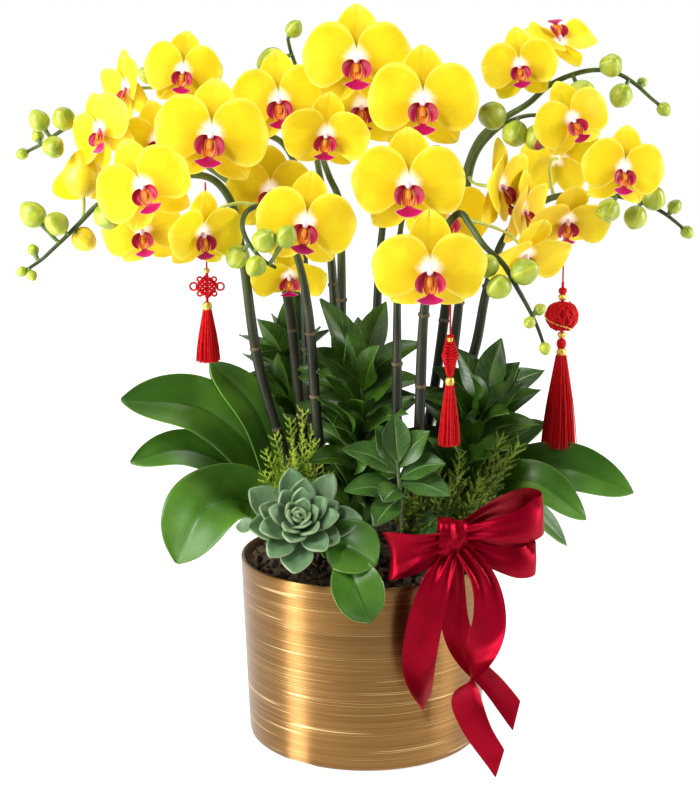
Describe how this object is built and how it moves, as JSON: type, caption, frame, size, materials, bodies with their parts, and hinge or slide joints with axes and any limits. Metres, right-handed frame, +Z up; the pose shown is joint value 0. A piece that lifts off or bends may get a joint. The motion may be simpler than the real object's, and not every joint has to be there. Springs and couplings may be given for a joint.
{
  "type": "potted moth orchid arrangement",
  "caption": "Potted yellow moth orchids on arching spikes in a brushed gold pot, with companion foliage, a red satin bow and hanging tassels.",
  "frame": {"origin": "centre of the pot's flat underside, which stands on the surface", "axes": "+Z up, -Y is the front that the blooms and the bow face, +X is the viewer's right"},
  "size_m": [0.6125, 0.3815, 0.6906],
  "materials": {
    "gold_pot": "brushed gold anodised",
    "bark": "rough bark chips and moss",
    "petals": "soft satin petals, yellow with a magenta and orange lip",
    "flower_spikes": "smooth dark green stems with lime buds",
    "orchid_leaves": "glossy leaf",
    "laurel_leaves": "glossy leaf",
    "sprig": "matte leaflets",
    "moss": "matte scale leaves",
    "echeveria": "waxy bloom with cream edges",
    "satin": "crimson satin",
    "silk": "red silk thread with gold beads"
  },
  "bodies": {
    "root": {"bloom_behind_centre": "petals", "bloom_behind_inner": "petals", "bloom_behind_left": "petals", "bloom_behind_lower": "petals", "bloom_behind_right": "petals", "bloom_centre": "petals", "bloom_crown": "petals", "bloom_far_left": "petals", "bloom_far_left_top": "petals", "bloom_high_left": "petals", "bloom_high_right": "petals", "bloom_inner_left": "petals", "bloom_left_middle": "petals", "bloom_left_upper": "petals", "bloom_lowest": "petals", "bloom_nodding_left": "petals", "bloom_opening_left": "petals", "bloom_right_inner": "petals", "bloom_right_nodding": "petals", "bloom_right_outer": "petals", "bloom_right_pair": "petals", "bloom_right_upper": "petals", "bloom_side_left": "petals", "bloom_throat_left": "petals", "bloom_top_left": "petals", "bloom_under_left": "petals", "bloom_upper_centre": "petals", "bloom_upturned": "petals", "echeveria": "echeveria", "growing_medium": "bark", "leafy_stem_back": "laurel_leaves", "leafy_stem_front": "laurel_leaves", "leafy_stem_middle": "laurel_leaves", "leafy_stem_right": "laurel_leaves", "orchid_leaves_back": "orchid_leaves", "orchid_leaves_front": "orchid_leaves", "orchid_leaves_left": "orchid_leaves", "orchid_leaves_right": "orchid_leaves", "pot": "gold_pot", "ribbon_bow": "satin", "spike_centre_front": "flower_spikes", "spike_centre_left": "flower_spikes", "spike_centre_right": "flower_spikes", "spike_crown_tip": "flower_spikes", "spike_front_right": "flower_spikes", "spike_left_front": "flower_spikes", "spike_left_high": "flower_spikes", "spike_left_low": "flower_spikes", "spike_right_high": "flower_spikes", "spike_right_low": "flower_spikes", "spike_right_middle": "flower_spikes", "spike_upper_left": "flower_spikes", "sprig_left": "sprig", "sprig_right": "moss", "tassel_cord_left": "silk", "tassel_cord_middle": "silk", "tassel_cord_right": "silk", "tassel_left": "silk", "tassel_middle": "silk", "tassel_right": "silk"}
  },
  "joints": []
}
